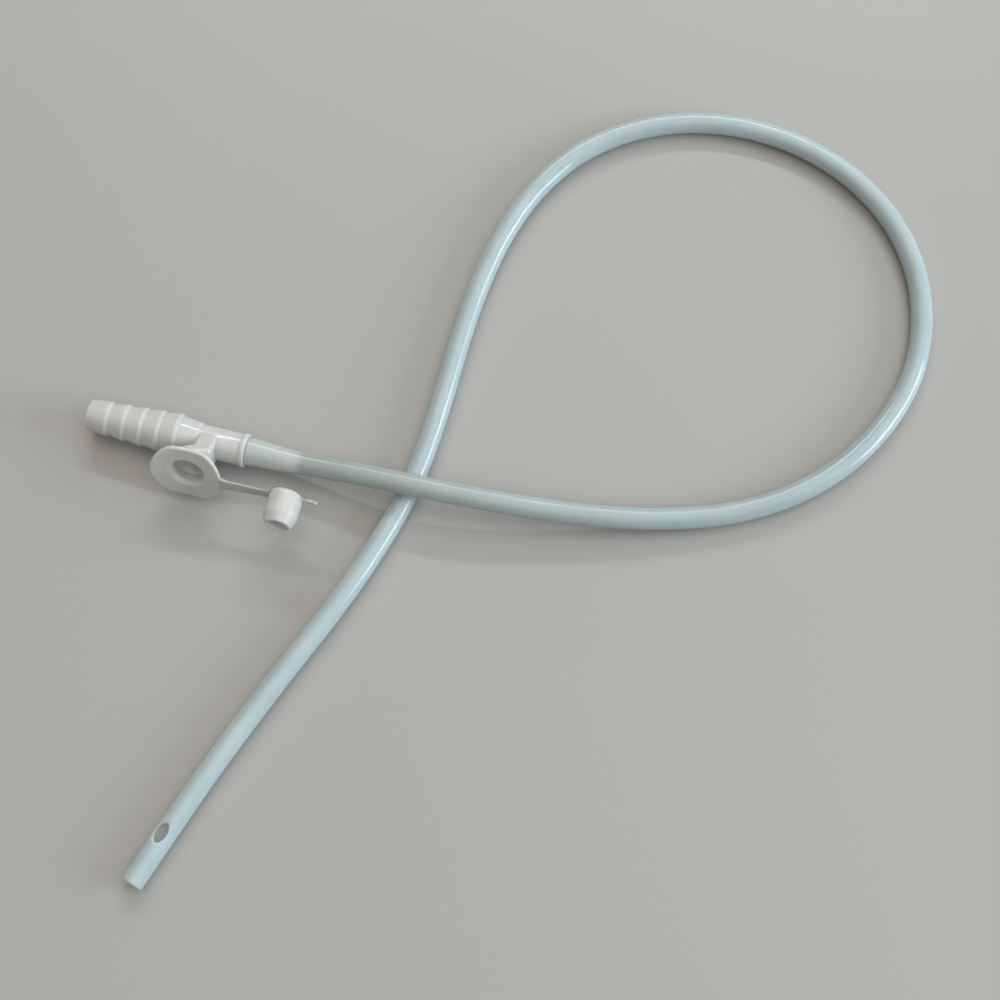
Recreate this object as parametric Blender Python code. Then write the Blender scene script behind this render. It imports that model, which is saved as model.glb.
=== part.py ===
"""Suction catheter: barbed connector with a thumb-control port, a tethered vent plug and a looped tube.

The connector's axis runs along +X from its hose end. The port leans out over -Y.
The origin is on the table, under the middle of the connector, strap and plug.
"""
import math

import bmesh
import bpy
from mathutils import Matrix, Vector

MM = 0.001

# Fits and fineness
FIT_GAP = 0.3 * MM
MERGE_DISTANCE = 0.001 * MM
BODY_STEPS = 48
PORT_STEPS = 48
PLUG_STEPS = 40
RIM_STEPS = 72
ARC_STEPS = 5
SHARP_ANGLE = math.radians(32)

# Hose nipple, from the open end
BARB_COUNT = 5
BARB_PITCH = 4.33 * MM
FIRST_CREST_STATION = 4.85 * MM
FIRST_CREST_RADIUS = 4.33 * MM
LAST_CREST_RADIUS = 5.35 * MM
BARB_BACK_DROP = 0.38 * MM
BARB_BACK_LENGTH = 0.75 * MM
BARB_EDGE = 0.12 * MM
NIPPLE_LIP_RADIUS = 0.45 * MM
NIPPLE_MOUTH_RADIUS = 3.75 * MM

# Neck, collar and bead
NECK_LENGTH = 4.9 * MM
NECK_START_DROP = 0.6 * MM
NECK_END_RADIUS = 4.15 * MM
COLLAR_RADIUS = 3.9 * MM
COLLAR_LENGTH = 10.3 * MM
BEAD_LENGTH = 1.4 * MM
BEAD_HEIGHT = 0.3 * MM

# Stem that the tube is stretched over
STEM_LENGTH = 12.4 * MM
STEM_ROOT_RADIUS = 2.4 * MM
STEM_END_RADIUS = 1.6 * MM
STEM_LEAD = 0.4 * MM

# Passage through the connector
NIPPLE_BORE_RADIUS = 3.0 * MM
COLLAR_BORE_RADIUS = 2.0 * MM
STEM_ROOT_BORE_RADIUS = 1.5 * MM
STEM_END_BORE_RADIUS = 1.15 * MM
BORE_TAPER_LENGTH = 3.0 * MM

# Thumb-control port
PORT_TILT = math.radians(25)
PORT_REACH = 11.1 * MM
PORT_PAST_COLLAR = 0.3 * MM
PORT_NECK_HALF_WIDTH = 3.05 * MM
PORT_NECK_HALF_DEPTH = 3.8 * MM
PORT_NECK_SHIFT = 2.1 * MM
PORT_PASSAGE_RADIUS = 1.8 * MM
FUNNEL_RADIUS = 3.2 * MM
FUNNEL_DEPTH = 6.2 * MM
BOSS_RADIUS = 4.5 * MM
BOSS_DEPTH = 4.4 * MM
BOSS_TAPER = 1.4 * MM
VENT_DEPTH = 3.2 * MM
VENT_BORE_RADIUS = 3.58 * MM
VENT_MOUTH_RADIUS = 4.2 * MM
VENT_LEAD_DEPTH = 1.2 * MM

# Thumb plate
PLATE_RADIUS = 8.85 * MM
PLATE_UPPER_FLAT = 7.85 * MM
PLATE_LOWER_FLAT = 8.1 * MM
PLATE_THICKNESS = 1.2 * MM
PLATE_CURL = 0.02 / MM
PLATE_CORNER_POWER = 30

# Vent plug
PLUG_DISTANCE = 24.7 * MM
PLUG_TWIST = math.radians(18)
PLUG_RADIUS = 4.1 * MM
PLUG_NOSE_RADIUS = 3.35 * MM
PLUG_BACK_RADIUS = 3.3 * MM
PLUG_LENGTH = 8.5 * MM
PLUG_STANDOFF = -0.1 * MM
PLUG_NOSE_LENGTH = 1.0 * MM
PLUG_SHOULDER_LENGTH = 1.3 * MM
PLUG_EDGE = 0.35 * MM
PLUG_BACK_CHAMFER = 1.3 * MM
PLUG_SEAT_DEPTH = 2.0 * MM
RECESS_RADIUS = 2.4 * MM
RECESS_DEPTH = 5.6 * MM
RECESS_DRAFT = 0.25 * MM

# Pull tab on the plug
TAB_LENGTH = 3.8 * MM
TAB_WIDTH = 2.0 * MM
TAB_THICKNESS = 0.8 * MM
TAB_SETBACK = 0.5 * MM

# Tether strap
STRAP_WIDTH = 2.2 * MM
STRAP_THICKNESS = 1.1 * MM
STRAP_ROOT_WIDTH = 3.4 * MM
STRAP_FLARE_WIDTH = 4.4 * MM
STRAP_FLARE_LENGTH = 2.4 * MM
STRAP_EDGE = 0.25 * MM

# Catheter tube
TUBE_RADIUS = 2.665 * MM
TUBE_WALL = 0.765 * MM
SLEEVE_WALL = 0.72 * MM
TUBE_SPACING = 2.0 * 2 * TUBE_RADIUS
TUBE_BEVEL_STEPS = 3
CROSSING_GAP = 0.45 * MM
TIP_EDGE = 0.5 * MM
EYE_LENGTH = 4.8 * MM
EYE_WIDTH = 3.0 * MM
EYE_FROM_TIP = 13.0 * MM
EYE_STAGGER = 5.0 * MM

# Route of the tube's centre past the stem: station and sideways distance in millimetres, and its height
# as a share of the lift with which it passes over itself
ROUTE = (
    (67.5, 0.1, 0.80), (82.3, 0.1, 1.03), (97.3, 0.8, 0.91), (112.1, 2.2, 0.66), (126.9, 4.4, 0.39),
    (141.5, 7.8, 0.16), (155.5, 12.8, 0.04), (168.5, 20.3, 0), (179.5, 30.6, 0), (187.5, 43.2, 0),
    (192.1, 57.4, 0), (192.2, 72.3, 0), (187.9, 86.6, 0), (179.4, 98.9, 0), (167.5, 108.0, 0),
    (153.6, 113.5, 0), (138.7, 115.2, 0), (124.0, 113.1, 0), (110.3, 107.2, 0), (98.8, 97.6, 0),
    (90.7, 85.1, 0), (85.7, 70.9, 0), (83.1, 56.1, 0), (82.0, 41.2, 0), (81.6, 26.3, 0),
    (80.8, 11.2, 0), (78.6, -3.6, 0), (74.6, -18.0, 0), (69.5, -32.2, 0), (63.7, -46.0, 0),
    (58.0, -59.9, 0), (52.6, -73.8, 0), (47.6, -88.0, 0), (42.8, -102.2, 0), (42.0, -104.7, 0),
)

# Places worked out from the sizes
AXIS_HEIGHT = LAST_CREST_RADIUS
LAST_CREST_STATION = FIRST_CREST_STATION + (BARB_COUNT - 1) * BARB_PITCH
NECK_STATION = LAST_CREST_STATION + BARB_BACK_LENGTH
COLLAR_STATION = NECK_STATION + NECK_LENGTH
BEAD_STATION = COLLAR_STATION + COLLAR_LENGTH
STEM_STATION = BEAD_STATION + BEAD_LENGTH
STEM_END_STATION = STEM_STATION + STEM_LENGTH
PORT_STATION = COLLAR_STATION + PORT_PAST_COLLAR
PLUG_MIDDLE_HEIGHT = PLUG_STANDOFF + PLUG_LENGTH / 2
SEATED_MIDDLE_HEIGHT = PLUG_LENGTH / 2 - PLUG_SEAT_DEPTH
PLUG_RISE = (SEATED_MIDDLE_HEIGHT - PLUG_MIDDLE_HEIGHT) * math.tan(PLUG_TWIST / 2)
TAB_END = PLUG_RADIUS + TAB_LENGTH
TUBE_BORE_RADIUS = TUBE_RADIUS - TUBE_WALL
CROSSING_LIFT = 2 * TUBE_RADIUS + CROSSING_GAP

# The plug's nose is the furthest point towards -Y, and its tab the furthest towards +X
NOSE_REACH = math.cos(PORT_TILT) * (PORT_REACH + PLUG_MIDDLE_HEIGHT) - math.sin(PORT_TILT) * PLUG_RISE
NOSE_REACH += math.cos(PORT_TILT - PLUG_TWIST) * PLUG_LENGTH / 2
NOSE_REACH += math.sin(PORT_TILT - PLUG_TWIST) * (PLUG_NOSE_RADIUS - PLUG_EDGE)
MIDDLE = Vector(((PORT_STATION + PLUG_DISTANCE + TAB_END) / 2, (LAST_CREST_RADIUS - NOSE_REACH) / 2, 0))

AXIS_PLACE = Matrix.Translation(Vector((0, 0, AXIS_HEIGHT)) - MIDDLE)
ALONG_AXIS = AXIS_PLACE @ Matrix.Rotation(math.pi / 2, 4, "Y")
MOUTH_CENTRE = Vector((PORT_STATION, -math.cos(PORT_TILT) * PORT_REACH, math.sin(PORT_TILT) * PORT_REACH))
PORT_PLACE = AXIS_PLACE @ Matrix.Translation(MOUTH_CENTRE) @ Matrix.Rotation(math.pi / 2 - PORT_TILT, 4, "X")

# The plug lies twisted about the strap. Half a turn about the hinge brings it onto the vent.
PLUG_MIDDLE = Vector((PLUG_DISTANCE, PLUG_RISE, PLUG_MIDDLE_HEIGHT))
PLUG_TURN = Matrix.Translation(PLUG_MIDDLE) @ Matrix.Rotation(PLUG_TWIST, 4, "X")
PLUG_PLACE = PORT_PLACE @ PLUG_TURN @ Matrix.Translation((0, 0, -PLUG_LENGTH / 2))
HINGE_POINT = (PLUG_MIDDLE + Vector((0, 0, SEATED_MIDDLE_HEIGHT))) / 2
HINGE_PLACE = PORT_PLACE @ Matrix.Translation(HINGE_POINT) @ Matrix.Rotation(PLUG_TWIST / 2, 4, "X")


def clear_scene():
    for item in list(bpy.data.objects):
        bpy.data.objects.remove(item)


def make_material(name, colour, roughness, alpha=1.0):
    material = bpy.data.materials.new(name)
    material.use_nodes = True
    shader = material.node_tree.nodes["Principled BSDF"]
    shader.inputs["Base Color"].default_value = (*colour, 1)
    shader.inputs["Roughness"].default_value = roughness
    shader.inputs["Metallic"].default_value = 0
    shader.inputs["Alpha"].default_value = alpha
    return material


def add_object(name, data, place=Matrix()):
    item = bpy.data.objects.new(name, data)
    bpy.context.scene.collection.objects.link(item)
    item.matrix_world = place
    return item


def mesh_object(name, shape, place):
    bmesh.ops.remove_doubles(shape, verts=shape.verts, dist=MERGE_DISTANCE)
    bmesh.ops.holes_fill(shape, edges=[edge for edge in shape.edges if edge.is_boundary])
    bmesh.ops.recalc_face_normals(shape, faces=shape.faces)
    mesh = bpy.data.meshes.new(name)
    shape.to_mesh(mesh)
    shape.free()
    return add_object(name, mesh, place)


def turned(name, outline, place, steps):
    """Spins an outline of (height, radius) points about the Z axis and caps its ends."""
    shape = bmesh.new()
    points = [shape.verts.new((radius, 0, height)) for height, radius in outline]
    edges = [shape.edges.new(pair) for pair in zip(points, points[1:])]
    bmesh.ops.spin(shape, geom=points + edges, cent=(0, 0, 0), axis=(0, 0, 1), angle=2 * math.pi, steps=steps)
    return mesh_object(name, shape, place)


def lofted(name, rings, place):
    """Bridges closed rings of points, one after the other, and caps the first and the last."""
    shape = bmesh.new()
    loops = []
    for ring in rings:
        points = [shape.verts.new(point) for point in ring]
        loops.append([shape.edges.new(pair) for pair in zip(points, points[1:] + points[:1])])
    for lower, upper in zip(loops, loops[1:]):
        bmesh.ops.bridge_loops(shape, edges=lower + upper)
    return mesh_object(name, shape, place)


def slab(name, outline, low, high, place):
    """Extrudes a flat outline of (x, y) points from one height to another."""
    shape = bmesh.new()
    face = shape.faces.new([shape.verts.new((x, y, low)) for x, y in outline])
    raised = bmesh.ops.extrude_face_region(shape, geom=[face])
    points = [item for item in raised["geom"] if isinstance(item, bmesh.types.BMVert)]
    bmesh.ops.translate(shape, verts=points, vec=(0, 0, high - low))
    return mesh_object(name, shape, place)


def combine(base, pieces, operation):
    """Joins the pieces to the base, or cuts them from it, and removes them."""
    for piece in pieces:
        step = base.modifiers.new(piece.name, "BOOLEAN")
        step.operation = operation
        step.solver = "EXACT"
        step.object = piece
    settle(base)
    for piece in pieces:
        bpy.data.objects.remove(piece)


def settle(item):
    """Turns what an object's modifiers or bevel make into its mesh."""
    bpy.context.view_layer.update()
    mesh = bpy.data.meshes.new_from_object(item.evaluated_get(bpy.context.evaluated_depsgraph_get()))
    mesh.name = item.name
    item.modifiers.clear()
    item.data = mesh


def finish(item, material):
    """Gives a piece its material and smooth shading with crisp edges."""
    item.data.materials.clear()
    item.data.materials.append(material)
    item.data.shade_smooth()
    item.data.set_sharp_from_angle(angle=SHARP_ANGLE)
    return item


def arc(centre, radii, start, end, steps=ARC_STEPS):
    """Points on an ellipse's arc, by angle in degrees, from the first axis towards the second."""
    points = []
    for index in range(steps + 1):
        angle = math.radians(start + (end - start) * index / steps)
        points.append((centre[0] + radii[0] * math.cos(angle), centre[1] + radii[1] * math.sin(angle)))
    return points


def barb_outline():
    """Cones that widen towards the body, each with a rounded crest and a bevel back to the next one."""
    outline = []
    growth = (LAST_CREST_RADIUS - FIRST_CREST_RADIUS) / (BARB_COUNT - 1)
    for index in range(BARB_COUNT):
        station = FIRST_CREST_STATION + index * BARB_PITCH
        crest = FIRST_CREST_RADIUS + index * growth
        outline += [
            (station - BARB_EDGE, crest - BARB_EDGE / 4),
            (station, crest),
            (station + BARB_EDGE, crest - BARB_EDGE / 4),
            (station + BARB_BACK_LENGTH, crest - BARB_BACK_DROP),
        ]
    return outline


def connector_outline():
    lip = NIPPLE_LIP_RADIUS
    bead_middle = BEAD_STATION + BEAD_LENGTH / 2
    outline = arc((lip, NIPPLE_MOUTH_RADIUS - lip), (lip, lip), 180, 90)
    outline += barb_outline()
    outline.append((NECK_STATION, LAST_CREST_RADIUS - NECK_START_DROP))
    outline += [(COLLAR_STATION, NECK_END_RADIUS), (COLLAR_STATION, COLLAR_RADIUS)]
    outline += arc((bead_middle, COLLAR_RADIUS), (BEAD_LENGTH / 2, BEAD_HEIGHT), 180, 0, 2 * ARC_STEPS)
    outline += [
        (STEM_STATION, STEM_ROOT_RADIUS),
        (STEM_END_STATION - STEM_LEAD, STEM_END_RADIUS),
        (STEM_END_STATION, STEM_END_RADIUS - STEM_LEAD / 4),
    ]
    return outline


def connector_passage():
    overshoot = BORE_TAPER_LENGTH
    outline = [
        (-overshoot, NIPPLE_BORE_RADIUS),
        (NECK_STATION, NIPPLE_BORE_RADIUS),
        (NECK_STATION + BORE_TAPER_LENGTH, COLLAR_BORE_RADIUS),
        (BEAD_STATION - BORE_TAPER_LENGTH, COLLAR_BORE_RADIUS),
        (STEM_STATION, STEM_ROOT_BORE_RADIUS),
        (STEM_END_STATION, STEM_END_BORE_RADIUS),
        (STEM_END_STATION + overshoot, STEM_END_BORE_RADIUS),
    ]
    return turned("passage", outline, ALONG_AXIS, BODY_STEPS)


def port_ring(height, half_width, half_depth, shift):
    turns = [2 * math.pi * index / PORT_STEPS for index in range(PORT_STEPS)]
    return [(shift + half_width * math.cos(turn), half_depth * math.sin(turn), height) for turn in turns]


def port_neck():
    """An oval neck, nearly as deep as the collar, that moves over into the boss behind the plate."""
    buried = PLATE_THICKNESS / 3
    edge = BOSS_RADIUS - BEAD_HEIGHT
    rings = [
        port_ring(-PORT_REACH, PORT_NECK_HALF_WIDTH, PORT_NECK_HALF_DEPTH, PORT_NECK_SHIFT),
        port_ring(-BOSS_DEPTH - BOSS_TAPER, PORT_NECK_HALF_WIDTH, PORT_NECK_HALF_DEPTH, PORT_NECK_SHIFT),
        port_ring(-BOSS_DEPTH, edge, edge, 0),
        port_ring(-BOSS_DEPTH + BEAD_HEIGHT, BOSS_RADIUS, BOSS_RADIUS, 0),
        port_ring(-buried, BOSS_RADIUS, BOSS_RADIUS, 0),
    ]
    return lofted("port_neck", rings, PORT_PLACE)


def plate_reach(turn):
    """Distance from the mouth's centre to the plate's edge: a disc with two rounded-off flats."""
    flat = PLATE_UPPER_FLAT if math.sin(turn) > 0 else PLATE_LOWER_FLAT
    power = PLATE_CORNER_POWER
    return (PLATE_RADIUS ** -power + (abs(math.sin(turn)) / flat) ** power) ** (-1 / power)


def plate_ring(inset, share, depth):
    """One ring of the plate: a share of the reach less an inset, on the curled face less a depth."""
    ring = []
    for index in range(RIM_STEPS):
        turn = 2 * math.pi * index / RIM_STEPS
        reach = (plate_reach(turn) - inset) * share
        x = reach * math.cos(turn)
        ring.append((x, reach * math.sin(turn), PLATE_CURL * x * x - depth))
    return ring


def thumb_plate():
    """A curled plate with a full round rim."""
    round_off = PLATE_THICKNESS / 2
    shares = [0.25, 0.5, 0.7, 0.85]
    rings = [plate_ring(round_off, share, 0) for share in shares]
    for inset, depth in arc((round_off, round_off), (-round_off, -round_off), 90, -90):
        rings.append(plate_ring(inset, 1, depth))
    rings += [plate_ring(round_off, share, PLATE_THICKNESS) for share in reversed(shares)]
    return lofted("thumb_plate", rings, PORT_PLACE)


def vent_bore():
    """The plug's seat: a mouth that narrows to a straight bore."""
    slope = VENT_MOUTH_RADIUS - VENT_BORE_RADIUS
    outline = [
        (-VENT_DEPTH, VENT_BORE_RADIUS),
        (-VENT_LEAD_DEPTH, VENT_BORE_RADIUS),
        (-VENT_LEAD_DEPTH / 2, VENT_BORE_RADIUS + slope * 0.4),
        (0, VENT_MOUTH_RADIUS),
        (VENT_LEAD_DEPTH / 2, VENT_MOUTH_RADIUS + slope),
        (VENT_LEAD_DEPTH, VENT_MOUTH_RADIUS + 2.2 * slope),
    ]
    return turned("vent_bore", outline, PORT_PLACE, PORT_STEPS)


def port_passage():
    """A funnel from the seat's ledge down to the connector's own passage."""
    rings = [
        port_ring(-PORT_REACH, PORT_PASSAGE_RADIUS, PORT_PASSAGE_RADIUS, PORT_NECK_SHIFT),
        port_ring(-FUNNEL_DEPTH, PORT_PASSAGE_RADIUS, PORT_PASSAGE_RADIUS, PORT_NECK_SHIFT),
        port_ring(-VENT_DEPTH, FUNNEL_RADIUS, FUNNEL_RADIUS, 0),
        port_ring(-VENT_DEPTH + FIT_GAP, FUNNEL_RADIUS, FUNNEL_RADIUS, 0),
    ]
    return lofted("port_passage", rings, PORT_PLACE)


def connector_body(material):
    body = turned("connector_body", connector_outline(), ALONG_AXIS, BODY_STEPS)
    combine(body, [port_neck(), thumb_plate()], "UNION")
    combine(body, [connector_passage(), vent_bore(), port_passage()], "DIFFERENCE")
    return finish(body, material)


def rounded_bar(start, end, width, steps=ARC_STEPS):
    """Outline of a bar along X with a half-round end."""
    half = width / 2
    outline = [(start, half), (start, -half)]
    return outline + arc((end - half, 0), (half, half), -90, 90, 2 * steps)


def soften(item, width):
    bevel = item.modifiers.new("edge", "BEVEL")
    bevel.width = width
    bevel.segments = 2
    bevel.limit_method = "ANGLE"
    bevel.angle_limit = SHARP_ANGLE
    settle(item)


def plug_outline():
    """From the recess floor, over the nose and down the outside to the back face, seat end up."""
    nose = PLUG_LENGTH
    shoulder = nose - PLUG_NOSE_LENGTH
    return [
        (nose - RECESS_DEPTH, RECESS_RADIUS - RECESS_DRAFT - PLUG_EDGE),
        (nose - RECESS_DEPTH + PLUG_EDGE, RECESS_RADIUS - RECESS_DRAFT),
        (nose - PLUG_EDGE / 2, RECESS_RADIUS),
        (nose, RECESS_RADIUS + PLUG_EDGE / 2),
        (nose, PLUG_NOSE_RADIUS - PLUG_EDGE),
        (nose - PLUG_EDGE / 3, PLUG_NOSE_RADIUS - PLUG_EDGE / 3),
        (nose - PLUG_EDGE, PLUG_NOSE_RADIUS),
        (shoulder, PLUG_NOSE_RADIUS + PLUG_EDGE / 4),
        (shoulder - PLUG_SHOULDER_LENGTH, PLUG_RADIUS),
        (PLUG_BACK_CHAMFER, PLUG_RADIUS),
        (PLUG_BACK_CHAMFER / 3, PLUG_BACK_RADIUS + (PLUG_RADIUS - PLUG_BACK_RADIUS) * 0.7),
        (0, PLUG_BACK_RADIUS),
    ]


def vent_plug(material):
    """The plug hangs from an empty on the axis about which it folds over onto the vent."""
    hinge = add_object("plug_hinge", None, HINGE_PLACE)
    plug = turned("vent_plug", plug_outline(), PLUG_PLACE, PLUG_STEPS)
    outline = rounded_bar(PLUG_BACK_RADIUS, TAB_END, TAB_WIDTH)
    tab = slab("tab", outline, TAB_SETBACK, TAB_SETBACK + TAB_THICKNESS, PLUG_PLACE)
    soften(tab, TAB_THICKNESS / 4)
    combine(plug, [tab], "UNION")
    plug.parent = hinge
    plug.matrix_parent_inverse = HINGE_PLACE.inverted()
    return finish(plug, material)


def strap_stations():
    """Distances and half widths along the strap, from under the plate's edge to inside the plug."""
    root = PLATE_RADIUS
    end = PLUG_DISTANCE - PLUG_RADIUS
    return [
        (root - STRAP_WIDTH, STRAP_ROOT_WIDTH / 2),
        (root + FIT_GAP, STRAP_ROOT_WIDTH / 2),
        (root + STRAP_FLARE_LENGTH / 2, STRAP_WIDTH / 2 * 1.1),
        (root + STRAP_FLARE_LENGTH, STRAP_WIDTH / 2),
        ((root + end) / 2, STRAP_WIDTH / 2),
        (end - STRAP_FLARE_LENGTH, STRAP_WIDTH / 2),
        (end - STRAP_FLARE_LENGTH / 2, STRAP_WIDTH / 2 * 1.15),
        (end - FIT_GAP, STRAP_FLARE_WIDTH / 2 * 0.8),
        (end + FIT_GAP, STRAP_FLARE_WIDTH / 2),
        (end + STRAP_WIDTH, STRAP_FLARE_WIDTH / 2),
    ]


def strap_ring(distance, half_width):
    """A flat section with cut corners, turned and moved between the plate's edge and the plug's wall."""
    root = PLATE_RADIUS
    end = PLUG_DISTANCE - PLUG_RADIUS
    share = min(1, max(0, (distance - root) / (end - root)))
    level = PLATE_CURL * PLATE_RADIUS ** 2 - PLATE_THICKNESS / 2
    start_point = Vector((distance, 0, level))
    end_point = PLUG_TURN @ Vector((0, 0, level - PLUG_MIDDLE_HEIGHT))
    end_point.x = distance
    middle = start_point.lerp(end_point, share)
    turn = Matrix.Rotation(PLUG_TWIST * share, 4, "X")
    half = STRAP_THICKNESS / 2
    edge = STRAP_EDGE
    corners = [
        (half_width, edge - half), (half_width, half - edge), (half_width - edge, half), (edge - half_width, half),
        (-half_width, half - edge), (-half_width, edge - half), (edge - half_width, -half), (half_width - edge, -half),
    ]
    return [middle + turn @ Vector((0, y, z)) for y, z in corners]


def tether_strap(material):
    """A flat strap whose ends are cut round to the plate's edge and to the plug, with the fit gap."""
    rings = [strap_ring(distance, half_width) for distance, half_width in strap_stations()]
    strap = lofted("tether_strap", rings, PORT_PLACE)
    reach = PLUG_LENGTH
    plate_cut = turned("plate_cut", [(-reach, PLATE_RADIUS + FIT_GAP), (reach, PLATE_RADIUS + FIT_GAP)],
                       PORT_PLACE, RIM_STEPS)
    plug_cut = turned("plug_cut", [(-reach, PLUG_RADIUS + FIT_GAP), (reach, PLUG_RADIUS + FIT_GAP)],
                      PLUG_PLACE, PLUG_STEPS)
    combine(strap, [plate_cut, plug_cut], "DIFFERENCE")
    return finish(strap, material)


def smooth_points(points, spacing):
    """Points at even steps along a smooth curve through the given ones."""
    padded = [2 * points[0] - points[1], *points, 2 * points[-1] - points[-2]]
    fine = []
    for before, start, end, after in zip(padded, padded[1:], padded[2:], padded[3:]):
        for index in range(16):
            t = index / 16
            fine.append(0.5 * (2 * start + (end - before) * t
                               + (2 * before - 5 * start + 4 * end - after) * t * t
                               + (3 * start - before - 3 * end + after) * t * t * t))
    fine.append(points[-1])
    lengths = [(end - start).length for start, end in zip(fine, fine[1:])]
    count = max(1, round(sum(lengths) / spacing))
    step = sum(lengths) / count
    chosen = [fine[0]]
    travelled = 0
    for length, start, end in zip(lengths, fine, fine[1:]):
        while len(chosen) < count and travelled + length >= len(chosen) * step:
            chosen.append(start.lerp(end, (len(chosen) * step - travelled) / length))
        travelled += length
    return chosen + [fine[-1]]


def tube_route():
    """The tube's centre line: straight over the stem, then the free route to the tip."""
    stem_end = Vector((STEM_END_STATION + FIT_GAP, 0, AXIS_HEIGHT)) - MIDDLE
    free = [stem_end]
    for x, y, lift in ROUTE:
        free.append(Vector((x * MM, y * MM, TUBE_RADIUS + lift * CROSSING_LIFT)) - MIDDLE)
    return smooth_points(free, TUBE_SPACING)


def tube_curve(name, points):
    """A round bar along points, each with its own radius."""
    curve = bpy.data.curves.new(name, "CURVE")
    curve.dimensions = "3D"
    curve.bevel_depth = TUBE_RADIUS
    curve.bevel_resolution = TUBE_BEVEL_STEPS
    curve.use_fill_caps = True
    spline = curve.splines.new("POLY")
    spline.points.add(len(points) - 1)
    for target, (place, radius) in zip(spline.points, points):
        target.co = (*place, 1)
        target.radius = radius / TUBE_RADIUS
    item = add_object(name + "_curve", curve)
    mesh = bpy.data.meshes.new_from_object(item)
    bpy.data.objects.remove(item)
    return add_object(name, mesh)


def eye_cutter(name, place, along, outward):
    """An oval punch that goes into the tube's bore from one side."""
    rings = []
    for depth in (0, 2 * TUBE_RADIUS):
        outline = arc((0, 0), (EYE_LENGTH / 2, EYE_WIDTH / 2), 0, 360, 4 * ARC_STEPS)[:-1]
        rings.append([(x, y, depth) for x, y in outline])
    side = outward.cross(along)
    turn = Matrix((along, side, outward)).transposed().to_4x4()
    return lofted(name, rings, Matrix.Translation(place) @ turn)


def catheter_tube(material):
    """A tube that is widened over the stem and open at both ends, with two side eyes near its tip."""
    free = tube_route()
    sleeve_start = Vector((STEM_STATION + FIT_GAP, 0, AXIS_HEIGHT)) - MIDDLE
    tip_way = (free[-1] - free[-2]).normalized()
    outer = [(sleeve_start, STEM_ROOT_RADIUS + FIT_GAP + SLEEVE_WALL)]
    outer += [(point, TUBE_RADIUS) for point in free[:-1]]
    outer += [(free[-1] - tip_way * TIP_EDGE, TUBE_RADIUS), (free[-1], TUBE_RADIUS - TIP_EDGE / 2)]
    tube = tube_curve("catheter_tube", outer)
    stem_slope = (STEM_ROOT_RADIUS - STEM_END_RADIUS) / STEM_LENGTH
    before = Vector((-STEM_LEAD, 0, 0))
    inner = [(sleeve_start + before, STEM_ROOT_RADIUS + FIT_GAP + stem_slope * STEM_LEAD)]
    inner += [(point, TUBE_BORE_RADIUS) for point in free[:-1]]
    inner += [(free[-1] + tip_way * TIP_EDGE, TUBE_BORE_RADIUS)]
    cutters = [tube_curve("lumen", inner)]
    side = Vector((0, 0, 1)).cross(tip_way).normalized()
    outward = (Vector((0, 0, 1)) - 0.6 * side).normalized()
    upper_eye = free[-1] - tip_way * EYE_FROM_TIP
    cutters.append(eye_cutter("upper_eye", upper_eye, tip_way, outward))
    cutters.append(eye_cutter("lower_eye", upper_eye - tip_way * EYE_STAGGER, tip_way, -outward))
    combine(tube, cutters, "DIFFERENCE")
    return finish(tube, material)


def main():
    clear_scene()
    white = make_material("white_plastic", (0.80, 0.80, 0.77), 0.35)
    soft_white = make_material("soft_white_plastic", (0.78, 0.79, 0.77), 0.4)
    strap_white = make_material("strap_plastic", (0.72, 0.72, 0.69), 0.4)
    tube_blue = make_material("pale_blue_tube", (0.55, 0.68, 0.70), 0.25, 0.85)
    connector_body(white)
    tether_strap(strap_white)
    vent_plug(soft_white)
    catheter_tube(tube_blue)


main()
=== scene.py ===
import math

import bmesh
import bpy
from mathutils import Matrix, Vector


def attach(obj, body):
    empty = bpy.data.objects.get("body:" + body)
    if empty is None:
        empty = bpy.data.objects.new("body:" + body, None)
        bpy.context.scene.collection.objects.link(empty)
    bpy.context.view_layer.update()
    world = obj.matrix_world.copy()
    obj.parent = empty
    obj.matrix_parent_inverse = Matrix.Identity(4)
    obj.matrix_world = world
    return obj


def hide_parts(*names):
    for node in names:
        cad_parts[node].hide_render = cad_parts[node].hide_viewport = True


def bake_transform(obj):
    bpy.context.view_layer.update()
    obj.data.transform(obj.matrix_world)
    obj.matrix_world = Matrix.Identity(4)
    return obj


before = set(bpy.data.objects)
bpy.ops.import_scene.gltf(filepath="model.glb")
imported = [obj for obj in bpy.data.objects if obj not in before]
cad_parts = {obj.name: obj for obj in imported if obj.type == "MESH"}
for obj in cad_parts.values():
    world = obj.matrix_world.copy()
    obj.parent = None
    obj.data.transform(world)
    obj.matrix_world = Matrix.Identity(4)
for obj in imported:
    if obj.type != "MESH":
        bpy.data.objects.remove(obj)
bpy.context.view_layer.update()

MM = 0.001

# Photograph: camera place, aim and lens
VIEW_AZIMUTH = math.radians(13.66)
VIEW_ELEVATION = math.radians(72.8)
CAMERA_PLACE = Vector((101.24, -114.609, 416.1)) * MM
SENSOR_WIDTH = 36
LENS = 64.8

# Connector, repeated from the part's source
MIDDLE = Vector((30.36, -6.5912, 0)) * MM
AXIS_HEIGHT = 5.35 * MM
STEM_STATION = 39.52 * MM
STEM_END_STATION = 51.92 * MM
PORT_STATION = 28.12 * MM
PORT_REACH = 11.1 * MM
PORT_TILT = math.radians(25)
MOUTH_CENTRE = Vector((PORT_STATION, -math.cos(PORT_TILT) * PORT_REACH,
                       AXIS_HEIGHT + math.sin(PORT_TILT) * PORT_REACH)) - MIDDLE
PORT_PLACE = Matrix.Translation(MOUTH_CENTRE) @ Matrix.Rotation(math.pi / 2 - PORT_TILT, 4, "X")
ALONG_AXIS = Matrix.Translation(Vector((0, 0, AXIS_HEIGHT)) - MIDDLE) @ Matrix.Rotation(math.pi / 2, 4, "Y")

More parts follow.
